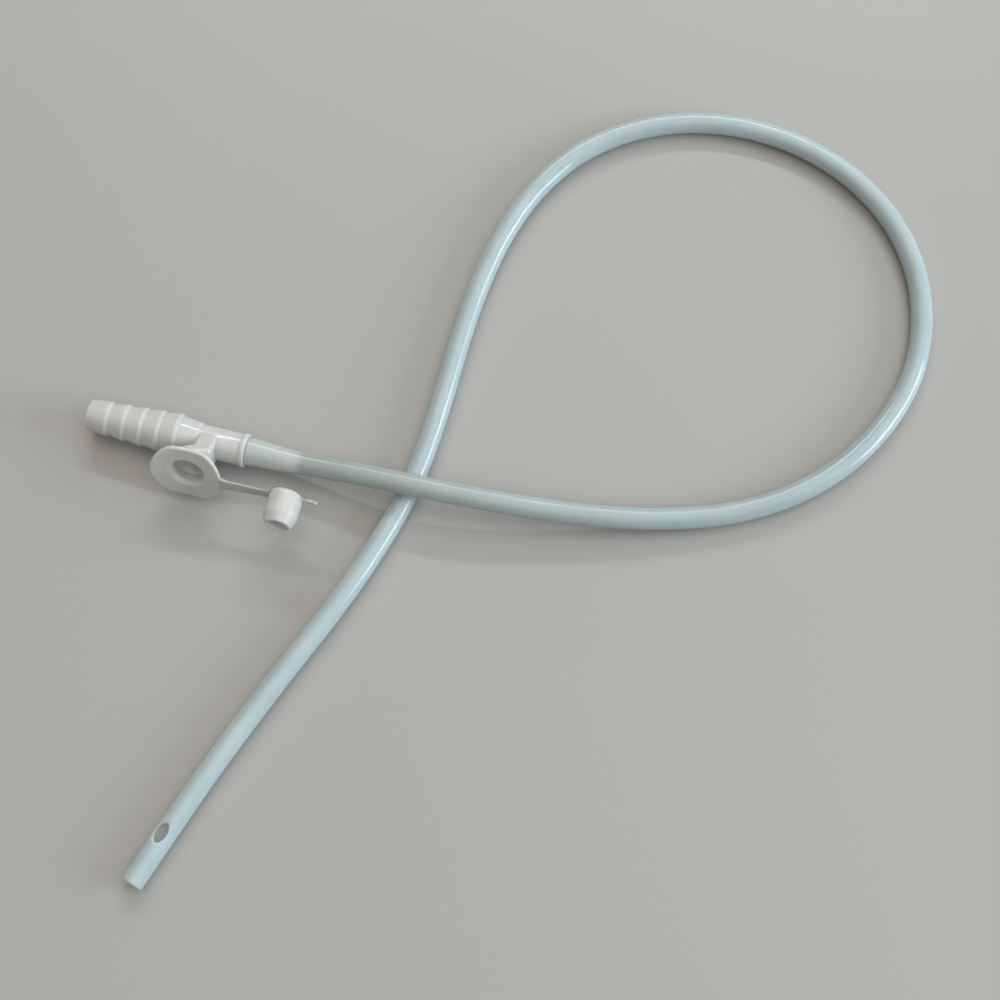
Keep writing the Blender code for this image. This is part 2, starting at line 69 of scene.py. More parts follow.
# Connector's turned outline in millimetres: station from the hose end, and radius
HOSE_END = ((0.0, 3.05), (0.0, 3.74))
BARB_COUNT = 5
BARB_PITCH = 4.33
FIRST_CREST = (4.85, 4.33)
CREST_GROWTH = 0.255
BARB_BACK = (0.72, 0.38)
NECK_AND_COLLAR = ((22.92, 4.75), (27.82, 4.15), (27.86, 3.9), (38.12, 3.9))
OUTER_EDGE = 0.13
BEAD_CENTRE = (38.82, 3.9)
BEAD_HALF_LENGTH = 0.7
BEAD_HEIGHT = 0.26
BEAD_STEPS = 12
COLLAR_END_AND_STEM = ((39.5, 3.84), (39.52, 3.7), (39.52, 2.4), (51.5, 1.63), (51.8, 1.58), (51.92, 1.45))
PASSAGE = ((51.92, 1.25), (51.7, 1.15), (39.52, 1.5), (35.12, 2.0), (25.92, 2.0), (22.92, 3.0), (0.3, 3.0),
           (0.0, 3.05))
PASSAGE_EDGE = 0.4
PASSAGE_PUNCH = ((20, 0.01), (20, 3.0), (22.92, 3.0), (25.92, 2.0), (35.12, 2.0), (37, 1.75), (37, 0.01))
BODY_STEPS = 128
BODY_CREASE = 50
PUNCH_STEPS = 96

# Port in millimetres, in its own frame: heights over the vent's mouth, half sizes, shift towards the tube
NECK_FOOT = -11.1
NECK_TOP = -6.4
NECK_HALF_WIDTH = 2.4
NECK_HALF_DEPTH = 3.86
NECK_SHIFT = 2.05
NECK_POWER = 9
ROUND_POWER = 2
FLARE_LENGTH = 2.6
FLARE_STEPS = 8
BOSS_TOP = -0.5
BOSS_RADIUS = 4.42
PORT_STEPS = 72

# Vent in millimetres: height, radius and shift of the funnel, height and radius of the plug's seat
FUNNEL = ((-11.1, 1.8, 2.1), (-6.2, 1.8, 2.1), (-3.2, 3.2, 0))
SEAT = ((-3.2, 3.58), (-1.2, 3.58), (-0.9, 3.63), (-0.6, 3.76), (-0.3, 3.95), (0, 4.2), (0.25, 4.5),
        (1.2, 6.0))

# Thumb plate: its flats and its edge in millimetres, and how finely it is drawn
PLATE_UPPER_FLAT = 7.85
PLATE_LOWER_FLAT = 8.1
PLATE_EDGE = 0.6
PLATE_CORNER_POWER = 30
PLATE_STEPS = 144
PLATE_RINGS = 12

# Port's softening: the grain of its new mesh, and the rounds of smoothing
SOFT_GRAIN = 0.16 * MM
SOFT_ROUNDS = 6

# Plug and strap, in the port's frame
FIT_GAP = 0.3 * MM
PLATE_RADIUS = 8.85 * MM
PLATE_CURL = 0.02 / MM
PLATE_THICKNESS = 1.2 * MM
PLUG_DISTANCE = 24.7 * MM
PLUG_TWIST = math.radians(18)
PLUG_RADIUS = 4.1 * MM
PLUG_LENGTH = 8.5 * MM
TAB_LENGTH = 3.8 * MM
PLUG_MIDDLE = Vector((24.7, -0.3009, 4.15)) * MM
PLUG_TURN = Matrix.Translation(PLUG_MIDDLE) @ Matrix.Rotation(PLUG_TWIST, 4, "X")
PLUG_PLACE = PORT_PLACE @ PLUG_TURN @ Matrix.Translation((0, 0, -PLUG_LENGTH / 2))
STRAP_LEVEL = PLATE_CURL * PLATE_RADIUS ** 2 - PLATE_THICKNESS / 2
STRAP_HALF_WIDTH = 1.5 * MM
STRAP_HALF_THICKNESS = 0.3 * MM
STRAP_EDGE = 0.28 * MM
STRAP_ROOT_LENGTH = 2.2 * MM
STRAP_ROOT_FLARE = 0.5 * MM
STRAP_ROOT_SWELL = 0.15 * MM
STRAP_ROOT_OVERLAP = 0.35 * MM
STRAP_TIP_LENGTH = 2.4 * MM
STRAP_TIP_FLARE = 0.8 * MM
STRAP_TIP_SWELL = 0.35 * MM
TIP_FLARE_POWER = 2.2
PLUG_OVERLAP = 0.25 * MM
STRAP_STEPS = 110
TAB_HALF_WIDTH = 1.2 * MM
TAB_HALF_THICKNESS = 0.38 * MM
TAB_HEIGHT = 0.9 * MM
TAB_ROOT_LENGTH = 1.2 * MM
TAB_FLARE = 0.5 * MM
TAB_EDGE = 0.3 * MM
TAB_STEPS = 24

# Plug's outline in millimetres, height and radius: recess, nose, cone, wall and back
PLUG_RECESS = ((2.9, 0.02), (2.9, 1.7), (2.98, 1.95), (3.2, 2.12), (8.15, 2.38), (8.36, 2.46), (8.47, 2.58),
               (8.5, 2.72))
PLUG_NOSE = ((8.5, 2.95), (8.46, 3.12), (8.36, 3.25), (8.2, 3.34), (7.9, 3.4), (7.7, 3.46), (6.3, 4.0))
PLUG_WALL = ((6.15, 4.05), (5.95, 4.09), (5.7, 4.1), (1.5, 4.1))
PLUG_BACK = ((1.1, 4.06), (0.7, 3.94), (0.35, 3.74), (0.12, 3.5), (0, 3.2), (0, 0.02))
PLUG_STEPS = 96

# Tube
TUBE_RADIUS = 2.665 * MM
TUBE_BORE_RADIUS = 1.9 * MM
SLEEVE_RADIUS = 3.42 * MM
SLEEVE_BORE_RADIUS = 2.7 * MM
CROSSING_LIFT = 2 * TUBE_RADIUS + 0.45 * MM
TUBE_SIDES = 56
TUBE_STEP = 1.4 * MM
EYE_FROM_TIP = 13.0 * MM
EYE_STAGGER = 5.0 * MM
EYE_LEAN = 0.12
SLEEVE_GAP = 0.02 * MM
STEM_SWELL = 0.12 * MM
SWELL_BEFORE = 0.2 * MM
SWELL_AFTER = 1.6 * MM
CURVE_STEPS = 24
CREASE = 35

# Tube's tip in millimetres: distance back from the end, and radius, from the outside in
TIP = ((0.5, 2.665), (0.33, 2.635), (0.18, 2.56), (0.06, 2.44), (0, 2.3), (0, 2.1), (0.08, 1.97), (0.3, 1.9))

# Eye's punch in millimetres: half sizes, then the depth of each ring and its scale
EYE_HALF_LENGTH = 2.4
EYE_HALF_WIDTH = 1.5
EYE_RINGS = ((0.1, 0.9), (1.9, 0.94), (2.2, 1.0), (2.5, 1.1), (2.7, 1.3), (3.4, 2.0))
EYE_STEPS = 36

# Inner surfaces of the tube have their texture coordinate across moved on by this, as a mark for the
# material's painted light inside the tube
LUMEN_LIGHT_MARK = 2

# Route of the tube's centre past the stem: station, sideways, share of the lift
ROUTE = (
    (67.5, 0.1, 0.80), (82.3, 0.1, 1.03), (97.3, 0.8, 0.91), (112.1, 2.2, 0.66), (126.9, 4.4, 0.39),
    (141.5, 7.8, 0.16), (155.5, 12.8, 0.04), (168.5, 20.3, 0), (179.5, 30.6, 0), (187.5, 43.2, 0),
    (192.1, 57.4, 0), (192.2, 72.3, 0), (187.9, 86.6, 0), (179.4, 98.9, 0), (167.5, 108.0, 0),
    (153.6, 113.5, 0), (138.7, 115.2, 0), (124.0, 113.1, 0), (110.3, 107.2, 0), (98.8, 97.6, 0),
    (90.7, 85.1, 0), (85.7, 70.9, 0), (83.1, 56.1, 0), (82.0, 41.2, 0), (81.6, 26.3, 0),
    (80.8, 11.2, 0), (78.6, -3.6, 0), (74.6, -18.0, 0), (69.5, -32.2, 0), (63.7, -46.0, 0),
    (58.0, -59.9, 0), (52.6, -73.8, 0), (47.6, -88.0, 0), (42.8, -102.2, 0), (42.0, -104.7, 0),
)

# Colours of the moulded pieces, light and dark; the strap's darker, warmer white is painted shade
CONNECTOR_WHITES = ((0.61, 0.62, 0.615), (0.57, 0.58, 0.57))
PLUG_WHITES = ((0.62, 0.63, 0.625), (0.58, 0.59, 0.58))
STRAP_SHADED_WHITES = ((0.46, 0.455, 0.43), (0.42, 0.415, 0.39))

# Tube's colour by the share of its length: paler over the stem, where the white stem shows through the wall,
# then painted shade just past it that lightens on to the tip
TUBE_COLOURS_AND_SHADE = ((0.0, (0.54, 0.59, 0.57)), (0.0234, (0.54, 0.59, 0.57)), (0.0238, (0.37, 0.43, 0.41)),
                (0.07, (0.42, 0.49, 0.475)), (0.25, (0.45, 0.555, 0.58)), (1.0, (0.50, 0.61, 0.645)))
TUBE_CLOUDS = ((0.3, (0.90, 0.92, 0.93)), (0.7, (1, 1, 1)))
# Inner surfaces, painted far paler than the outside: painted light in the hollow
LUMEN_PAINTED_LIGHT = ((0.3, (0.80, 0.94, 0.98)), (0.7, (0.86, 0.97, 1.0)))
FLOOR_COLOURS = ((0.3, (0.385, 0.385, 0.37)), (0.7, (0.40, 0.40, 0.385)))

# Colour of the room's light from its -X side to its +X side, and the point that the lamps face
ROOM_COLOURS = ((0.0, (0.42, 0.33, 0.25)), (0.35, (0.82, 0.74, 0.65)), (0.55, (1.0, 0.97, 0.92)),
                (1.0, (0.95, 1.0, 1.0)))
LAMP_TARGET = Vector((0.06, 0, 0))


# Geometry helpers
def add_object(name, data):
    item = bpy.data.objects.new(name, data)
    bpy.context.scene.collection.objects.link(item)
    return item


def finish_mesh(name, shape, sharp=40):
    bmesh.ops.recalc_face_normals(shape, faces=shape.faces)
    mesh = bpy.data.meshes.new(name)
    shape.to_mesh(mesh)
    shape.free()
    mesh.shade_smooth()
    mesh.set_sharp_from_angle(angle=math.radians(sharp))
    return add_object(name, mesh)


def skin(shape, rings, closed=False):
    """Quads between one ring of vertices and the next."""
    pairs = list(zip(rings, rings[1:]))
    if closed:
        pairs.append((rings[-1], rings[0]))
    for lower, upper in pairs:
        for index in range(len(lower)):
            after = (index + 1) % len(lower)
            shape.faces.new((lower[index], lower[after], upper[after], upper[index]))


def capped(name, shape, rings):
    """An object from rings of vertices, with its first and last ring filled."""
    skin(shape, rings)
    shape.faces.new(rings[0])
    shape.faces.new(list(reversed(rings[-1])))
    return finish_mesh(name, shape)


def turned_rings(shape, outline, place, steps):
    """Rings of vertices round a frame's Z axis, from heights and radii in millimetres."""
    rings = []
    for height, radius in outline:
        height, radius = height * MM, radius * MM
        ring = []
        for index in range(steps):
            turn = 2 * math.pi * index / steps
            point = Vector((radius * math.cos(turn), radius * math.sin(turn), height))
            ring.append(shape.verts.new(place @ point))
        rings.append(ring)
    return rings


def turned_solid(name, outline, place, steps):
    shape = bmesh.new()
    return capped(name, shape, turned_rings(shape, outline, place, steps))


def settle(item):
    """Put an object's modifiers into its mesh."""
    bpy.context.view_layer.update()
    mesh = bpy.data.meshes.new_from_object(item.evaluated_get(bpy.context.evaluated_depsgraph_get()))
    mesh.name = item.name
    item.modifiers.clear()
    item.data = mesh


def cut(item, cutters):
    combine(item, cutters, "cut", "DIFFERENCE")


def join(item, pieces):
    combine(item, pieces, "join", "UNION")


def combine(item, others, name, operation):
    """One exact Boolean step with each of the others, which are then removed."""
    for other in others:
        step = item.modifiers.new(name, "BOOLEAN")
        step.operation = operation
        step.solver = "EXACT"
        step.object = other
    settle(item)
    for other in others:
        bpy.data.objects.remove(other)


def finish_piece(item, material, sharp):
    """One material for the whole piece, smooth except at edges sharper than the given degrees."""
    item.data.materials.clear()
    item.data.materials.append(material)
    item.data.shade_smooth()
    item.data.set_sharp_from_angle(angle=math.radians(sharp))


def smooth_points(points, spacing):
    """Points at even steps along a smooth curve through the given ones."""
    padded = [2 * points[0] - points[1], *points, 2 * points[-1] - points[-2]]
    fine = []
    for before, start, end, after in zip(padded, padded[1:], padded[2:], padded[3:]):
        for index in range(CURVE_STEPS):
            t = index / CURVE_STEPS
            fine.append(0.5 * (2 * start + (end - before) * t
                               + (2 * before - 5 * start + 4 * end - after) * t * t
                               + (3 * start - before - 3 * end + after) * t * t * t))
    fine.append(points[-1])
    lengths = [(end - start).length for start, end in zip(fine, fine[1:])]
    count = max(1, round(sum(lengths) / spacing))
    step = sum(lengths) / count
    chosen = [fine[0]]
    travelled = 0
    for length, start, end in zip(lengths, fine, fine[1:]):
        while len(chosen) < count and travelled + length >= len(chosen) * step:
            chosen.append(start.lerp(end, (len(chosen) * step - travelled) / length))
        travelled += length
    return chosen + [fine[-1]]


# Materials
def start_material(name):
    material = bpy.data.materials.new(name)
    material.use_nodes = True
    nodes = material.node_tree.nodes
    return material, nodes, material.node_tree.links, nodes["Principled BSDF"]


def noise(nodes, links, source, scale, detail=3.0, stretch=None):
    texture = nodes.new("ShaderNodeTexNoise")
    texture.inputs["Scale"].default_value = scale
    texture.inputs["Detail"].default_value = detail
    if stretch:
        mapping = nodes.new("ShaderNodeMapping")
        mapping.inputs["Scale"].default_value = stretch
        links.new(source, mapping.inputs["Vector"])
        source = mapping.outputs["Vector"]
    links.new(source, texture.inputs["Vector"])
    return texture.outputs["Fac"]


def ramp(nodes, links, source, stops):
    item = nodes.new("ShaderNodeValToRGB")
    elements = item.color_ramp.elements
    while len(elements) < len(stops):
        elements.new(0.5)
    for element, (place, colour) in zip(elements, stops):
        element.position = place
        element.color = (*colour, 1)
    links.new(source, item.inputs["Fac"])
    return item.outputs["Color"]


def spread(nodes, links, source, low, high, start=0.0, end=1.0, smooth=False):
    """The source, mapped from start and end to low and high."""
    item = nodes.new("ShaderNodeMapRange")
    if smooth:
        item.interpolation_type = "SMOOTHSTEP"
    item.inputs["From Min"].default_value = start
    item.inputs["From Max"].default_value = end
    item.inputs["To Min"].default_value = low
    item.inputs["To Max"].default_value = high
    links.new(source, item.inputs["Value"])
    return item.outputs["Result"]


def add_bump(nodes, links, shader, height, strength, distance):
    bump = nodes.new("ShaderNodeBump")
    bump.inputs["Strength"].default_value = strength
    bump.inputs["Distance"].default_value = distance
    links.new(height, bump.inputs["Height"])
    links.new(bump.outputs["Normal"], shader.inputs["Normal"])


def moulded_plastic(name, colours, roughness, subsurface):
    """White moulded plastic: faint cloudy colour, uneven gloss and a very fine skin texture."""
    material, nodes, links, shader = start_material(name)
    place = nodes.new("ShaderNodeTexCoord").outputs["Object"]
    light, dark = colours
    cloud = noise(nodes, links, place, 160, 4)
    links.new(ramp(nodes, links, cloud, [(0.3, dark), (0.7, light)]), shader.inputs["Base Color"])
    links.new(spread(nodes, links, noise(nodes, links, place, 420, 2), roughness - 0.05, roughness + 0.07),
              shader.inputs["Roughness"])
    shader.inputs["Subsurface Weight"].default_value = subsurface
    shader.inputs["Subsurface Radius"].default_value = (1.0, 0.95, 0.85)
    shader.inputs["Subsurface Scale"].default_value = 0.002
    shader.inputs["IOR"].default_value = 1.5
    add_bump(nodes, links, shader, noise(nodes, links, place, 1500, 3), 0.12, 0.00006)
    return material


def tube_plastic(name):
    """Soft see-through tubing: paler over the stem, where the white stem shows through, with painted shade
    just past it that lightens towards the tip, painted light on the inner surfaces, and faint long lines.
    """
    material, nodes, links, shader = start_material(name)
    coordinates = nodes.new("ShaderNodeTexCoord")
    along = nodes.new("ShaderNodeSeparateXYZ")
    links.new(coordinates.outputs["UV"], along.inputs["Vector"])
    # Colour along the tube, with painted shade past the stem that lightens towards the tip
    base = ramp(nodes, links, along.outputs["Y"], TUBE_COLOURS_AND_SHADE)
    cloud = noise(nodes, links, coordinates.outputs["Object"], 90, 3)
    tint = ramp(nodes, links, cloud, TUBE_CLOUDS)
    mix = nodes.new("ShaderNodeMix")
    mix.data_type = "RGBA"
    mix.blend_type = "MULTIPLY"
    mix.inputs["Factor"].default_value = 1
    links.new(base, mix.inputs["A"])
    links.new(tint, mix.inputs["B"])
    # Inner surfaces take the pale lumen colours: painted light inside the hollow tube
    inside = spread(nodes, links, along.outputs["X"], 0, 1, LUMEN_LIGHT_MARK - 0.6, LUMEN_LIGHT_MARK - 0.4)
    lumen_light = nodes.new("ShaderNodeMix")
    lumen_light.data_type = "RGBA"
    links.new(inside, lumen_light.inputs["Factor"])
    links.new(mix.outputs["Result"], lumen_light.inputs["A"])
    links.new(ramp(nodes, links, cloud, LUMEN_PAINTED_LIGHT), lumen_light.inputs["B"])
    links.new(lumen_light.outputs["Result"], shader.inputs["Base Color"])
    lines = noise(nodes, links, coordinates.outputs["UV"], 1, 3, (40, 12, 1))
    links.new(spread(nodes, links, lines, 0.10, 0.20), shader.inputs["Roughness"])
    shader.inputs["Subsurface Weight"].default_value = 1
    shader.inputs["Subsurface Radius"].default_value = (0.8, 1.0, 1.0)
    shader.inputs["Subsurface Scale"].default_value = 0.0022
    shader.inputs["IOR"].default_value = 1.5
    add_bump(nodes, links, shader, lines, 0.08, 0.00006)
    return material


def clear_plastic(name):
    """Thin see-through plastic with a slightly frosted skin."""
    material, nodes, links, shader = start_material(name)
    place = nodes.new("ShaderNodeTexCoord").outputs["Object"]
    shader.inputs["Base Color"].default_value = (0.9, 0.92, 0.9, 1)
    shader.inputs["Transmission Weight"].default_value = 0.85
    shader.inputs["IOR"].default_value = 1.4
    frosting = spread(nodes, links, noise(nodes, links, place, 600, 3), 0.05, 0.16)
    links.new(frosting, shader.inputs["Roughness"])
    add_bump(nodes, links, shader, noise(nodes, links, place, 900, 2), 0.1, 0.00006)
    return material


def floor_material():
    """A plain pale table, faintly uneven in colour and gloss."""
    material, nodes, links, shader = start_material("floor")
    place = nodes.new("ShaderNodeTexCoord").outputs["Object"]
    colours = ramp(nodes, links, noise(nodes, links, place, 4, 2), FLOOR_COLOURS)
    links.new(colours, shader.inputs["Base Color"])
    gloss = spread(nodes, links, noise(nodes, links, place, 60, 3), 0.30, 0.38)
    links.new(gloss, shader.inputs["Roughness"])
    shader.inputs["IOR"].default_value = 1.5
    return material


# Tube
def tube_path():
    """Points of the tube's centre line, from the collar to the tip."""
    sleeve_start = Vector((STEM_STATION + SLEEVE_GAP, 0, AXIS_HEIGHT)) - MIDDLE
    stem_end = Vector((STEM_END_STATION + FIT_GAP, 0, AXIS_HEIGHT)) - MIDDLE
    points = [sleeve_start, stem_end]
    for x, y, lift in ROUTE:
        points.append(Vector((x * MM, y * MM, TUBE_RADIUS + lift * CROSSING_LIFT)) - MIDDLE)
    return points


def along_tube(points):
    """Travelled lengths, and the sideways and upward directions at each point."""
    travelled = [0.0]
    for start, end in zip(points, points[1:]):
        travelled.append(travelled[-1] + (end - start).length)
    sides = []
    for index in range(len(points)):
        way = (points[min(index + 1, len(points) - 1)] - points[max(index - 1, 0)]).normalized()
        side = Vector((0, 0, 1)).cross(way).normalized()
        sides.append((way, side, way.cross(side)))
    return travelled, sides


def fade(value, start, end):
    """A smooth step from 0 at the start to 1 at the end."""
    share = min(1, max(0, (value - start) / (end - start)))
    return share * share * (3 - 2 * share)


def tube_radii(travelled):
    """Outer and inner radius at a length from the sleeve's start."""
    stem = STEM_END_STATION - STEM_STATION
    share = min(1, travelled / stem)
    outer = SLEEVE_RADIUS + (TUBE_RADIUS + STEM_SWELL - SLEEVE_RADIUS) * share
    outer -= STEM_SWELL * fade(travelled, stem - SWELL_BEFORE, stem + SWELL_AFTER)
    inner = SLEEVE_BORE_RADIUS + (TUBE_BORE_RADIUS - SLEEVE_BORE_RADIUS) * share
    return outer, inner


def eye_cutter(name, place, way, outward):
    """An oval punch from the tube's centre outwards, wider outside so that the hole's edge is bevelled."""
    shape = bmesh.new()
    side = outward.cross(way)
    rings = []
    for depth, scale in EYE_RINGS:
        ring = []
        for index in range(EYE_STEPS):
            turn = 2 * math.pi * index / EYE_STEPS
            offset = (way * EYE_HALF_LENGTH * scale * math.cos(turn)
                      + side * EYE_HALF_WIDTH * scale * math.sin(turn) + outward * depth)
            ring.append(shape.verts.new(place + offset * MM))
        rings.append(ring)
    return capped(name, shape, rings)


def tube_outline(points, travelled, ways):
    """Each ring's centre, directions, radius and length: along the outside, round the tip and back inside."""
    outline = []
    stretch = list(zip(points[:-1], ways, travelled))
    for point, (way, side, up), length in stretch:
        outline.append((point, side, up, tube_radii(length)[0], length))
    last, (way, side, up) = points[-1], ways[-1]
    for back, radius in TIP:
        outline.append((last - way * back * MM, side, up, radius * MM, travelled[-1] - back * MM))
    for point, (way, side, up), length in reversed(stretch):
        outline.append((point, side, up, tube_radii(length)[1], length))
    return outline


def tube_skin(outline, total, first_inner):
    """The tube's surface, with texture coordinates round it and by the share of its length."""
    shape = bmesh.new()
    uv = shape.loops.layers.uv.new("UVMap")
    rings = []
    marks = []
    for point, side, up, radius, length in outline:
        ring = []
        for index in range(TUBE_SIDES):
            turn = 2 * math.pi * index / TUBE_SIDES
            ring.append(shape.verts.new(point + (side * math.cos(turn) + up * math.sin(turn)) * radius))
        rings.append(ring)
        marks.append(length / total)
    count = len(rings)
    for row in range(count):
        lower, upper = rings[row], rings[(row + 1) % count]
        # Inner faces get the mark for the painted light inside the tube
        painted_light_shift = LUMEN_LIGHT_MARK if first_inner <= row < count - 1 else 0
        for index in range(TUBE_SIDES):
            after = (index + 1) % TUBE_SIDES
            face = shape.faces.new((lower[index], lower[after], upper[after], upper[index]))
            corners = ((index, row), (index + 1, row), (index + 1, row + 1), (index, row + 1))
            for loop, (turn, mark) in zip(face.loops, corners):
                loop[uv].uv = (turn / TUBE_SIDES + painted_light_shift, marks[mark % count])
    return finish_mesh("tube", shape, CREASE)


def catheter_tube(material):
    """The whole hollow tube, with its two opposite eyes near the tip."""
    points = smooth_points(tube_path(), TUBE_STEP)
    travelled, ways = along_tube(points)
    total = travelled[-1]
    first_inner = len(points) - 1 + len(TIP)
    tube = tube_skin(tube_outline(points, travelled, ways), total, first_inner)
    tip_way = ways[-1][0]
    flat_side = Vector((0, 0, 1)).cross(tip_way).normalized()
    outward = (Vector((0, 0, 1)) - EYE_LEAN * flat_side).normalized()
    upper_eye = points[-1] - tip_way * EYE_FROM_TIP
    cut(tube, [eye_cutter("upper_eye", upper_eye, tip_way, outward),
               eye_cutter("lower_eye", upper_eye - tip_way * EYE_STAGGER, tip_way, -outward)])
    finish_piece(tube, material, CREASE)
    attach(tube, "connector")
    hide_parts("catheter_tube")


# Plug, tab and strap
def vent_plug(material):
    """The hollow barrel."""
    plug = turned_solid("plug", PLUG_RECESS + PLUG_NOSE + PLUG_WALL + PLUG_BACK, PLUG_PLACE, PLUG_STEPS)
    plug.data.materials.append(material)
    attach(plug, "plug")
    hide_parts("vent_plug")


def bar(name, stations, place, corner, steps=6):
    """A rounded bar along X: at each station its half width, half thickness and level, in the frame there."""
    shape = bmesh.new()
    rings = []
    for x, half_width, half_thickness, level in stations:
        ring = []
        radius = min(corner, half_width * 0.98, half_thickness * 0.98)
        for cx, cy, start in ((1, 1, 0), (-1, 1, 90), (-1, -1, 180), (1, -1, 270)):
            for index in range(steps + 1):
                angle = math.radians(start + 90 * index / steps)
                ring.append(shape.verts.new(place(x) @ Vector((
                    x,
                    cx * (half_width - radius) + radius * math.cos(angle),
                    level + cy * (half_thickness - radius) + radius * math.sin(angle)))))
        rings.append(ring)
    return capped(name, shape, rings)


def pull_tab(material):
    """A thin clear tongue that widens into the plug's wall and ends round."""
    stations = []
    end = PLUG_RADIUS + TAB_LENGTH
    start = PLUG_RADIUS - PLUG_OVERLAP
    for index in range(TAB_STEPS + 1):
        share = index / TAB_STEPS
        x = start + (end - start) * share
        root = max(0, 1 - (x - start) / TAB_ROOT_LENGTH)
        half = TAB_HALF_WIDTH + TAB_FLARE * root * root
        nose = end - x
        if nose < TAB_HALF_WIDTH:
            half *= math.sqrt(max(0.02, 1 - (1 - nose / TAB_HALF_WIDTH) ** 2))
        stations.append((x, half, TAB_HALF_THICKNESS, TAB_HEIGHT))
    tab = bar("pull_tab", stations, lambda x: PLUG_PLACE, TAB_EDGE)
    tab.data.materials.append(material)
    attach(tab, "plug")
    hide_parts("vent_plug")


def strap_place(x):
    """The strap's frame at a distance, turned and moved evenly from the plate's edge to the plug's wall."""
    wall = PLUG_DISTANCE - PLUG_RADIUS
    share = min(1, max(0, (x - PLATE_RADIUS) / (wall - PLATE_RADIUS)))
    plug_end = PLUG_TURN @ Vector((0, 0, STRAP_LEVEL - PLUG_MIDDLE.z))
    middle = Vector((0, plug_end.y * share, STRAP_LEVEL + (plug_end.z - STRAP_LEVEL) * share))
    return PORT_PLACE @ Matrix.Translation(middle) @ Matrix.Rotation(PLUG_TWIST * share, 4, "X")


def tether_strap(material):
    """The flat strap, filleted into the plate's rim and into the plug's wall."""
    start = PLATE_RADIUS - STRAP_ROOT_OVERLAP
    end = PLUG_DISTANCE - PLUG_RADIUS + PLUG_OVERLAP
    stations = []
    for index in range(STRAP_STEPS + 1):
        x = start + (end - start) * index / STRAP_STEPS
        root = max(0, 1 - (x - start) / STRAP_ROOT_LENGTH)
        tip = max(0, 1 - (end - x) / STRAP_TIP_LENGTH)
        half_width = (STRAP_HALF_WIDTH + STRAP_ROOT_FLARE * root ** 2
                      + STRAP_TIP_FLARE * tip ** TIP_FLARE_POWER)
        half_thickness = STRAP_HALF_THICKNESS + STRAP_ROOT_SWELL * root + STRAP_TIP_SWELL * tip ** 2
        stations.append((x, half_width, half_thickness, 0))
    strap = bar("strap", stations, strap_place, STRAP_EDGE)
    strap.data.materials.append(material)
    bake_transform(strap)
    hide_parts("tether_strap")


# Connector
def rounded(points, radius, steps=4):
    """The outline with each inner corner rounded off."""
    out = [points[0]]
    for before, corner, after in zip(points, points[1:], points[2:]):
        before, corner, after = Vector(before), Vector(corner), Vector(after)
        into, away = corner - before, after - corner
        reach = min(radius, into.length * 0.45, away.length * 0.45)
        start, end = corner - into.normalized() * reach, corner + away.normalized() * reach
        for index in range(steps + 1):
            t = index / steps
            out.append(tuple(start * (1 - t) ** 2 + corner * 2 * t * (1 - t) + end * t * t))
    return out + [points[-1]]


def connector_outline():
    """Outside from the hose end to the stem's end, then back through the passage, in millimetres."""
    outside = list(HOSE_END)
    for index in range(BARB_COUNT):
        station = FIRST_CREST[0] + BARB_PITCH * index
        crest = FIRST_CREST[1] + CREST_GROWTH * index
        outside += [(station, crest), (station + BARB_BACK[0], crest - BARB_BACK[1])]
    outside = rounded(outside + list(NECK_AND_COLLAR), OUTER_EDGE)
    for index in range(1, BEAD_STEPS):
        turn = math.pi * index / BEAD_STEPS
        outside.append((BEAD_CENTRE[0] - BEAD_HALF_LENGTH * math.cos(turn),
                        BEAD_CENTRE[1] + BEAD_HEIGHT * math.sin(turn)))
    return outside + list(COLLAR_END_AND_STEM) + rounded(PASSAGE, PASSAGE_EDGE)[:-1]


def turned_body(name, outline, place, steps):
    """A turned ring: its outline closes on itself."""
    shape = bmesh.new()
    skin(shape, turned_rings(shape, outline, place, steps), closed=True)
    return finish_mesh(name, shape)


def lofted(name, rings):
    """A solid through rings of points, given in millimetres in the port's frame."""
    shape = bmesh.new()
    loops = [[shape.verts.new(PORT_PLACE @ (Vector(point) * MM)) for point in ring] for ring in rings]
    return capped(name, shape, loops)


def port_ring(height, half_width, half_depth, shift, power):
    """An oval that gets boxier as its power rises from 2."""
    ring = []
    for index in range(PORT_STEPS):
        turn = 2 * math.pi * index / PORT_STEPS
        c, s = math.cos(turn), math.sin(turn)
        reach = (abs(c / half_width) ** power + abs(s / half_depth) ** power) ** (-1 / power)
        ring.append((shift + reach * c, reach * s, height))
    return ring


def round_ring(height, radius, shift=0):
    return port_ring(height, radius, radius, shift, ROUND_POWER)


def port_neck():
    """A boxy neck as deep as the collar, which flares smoothly into the round boss behind the plate."""
    rings = [port_ring(height, NECK_HALF_WIDTH, NECK_HALF_DEPTH, NECK_SHIFT, NECK_POWER)
             for height in (NECK_FOOT, NECK_TOP)]
    for index in range(1, FLARE_STEPS + 1):
        share = index / FLARE_STEPS
        ease = fade(share, 0, 1)
        rings.append(port_ring(NECK_TOP + FLARE_LENGTH * share,
                               NECK_HALF_WIDTH + (BOSS_RADIUS - NECK_HALF_WIDTH) * ease,
                               NECK_HALF_DEPTH + (BOSS_RADIUS - NECK_HALF_DEPTH) * ease,
                               NECK_SHIFT * (1 - ease),
                               NECK_POWER + (ROUND_POWER - NECK_POWER) * ease))
    rings.append(round_ring(BOSS_TOP, BOSS_RADIUS))
    return lofted("port_neck", rings)


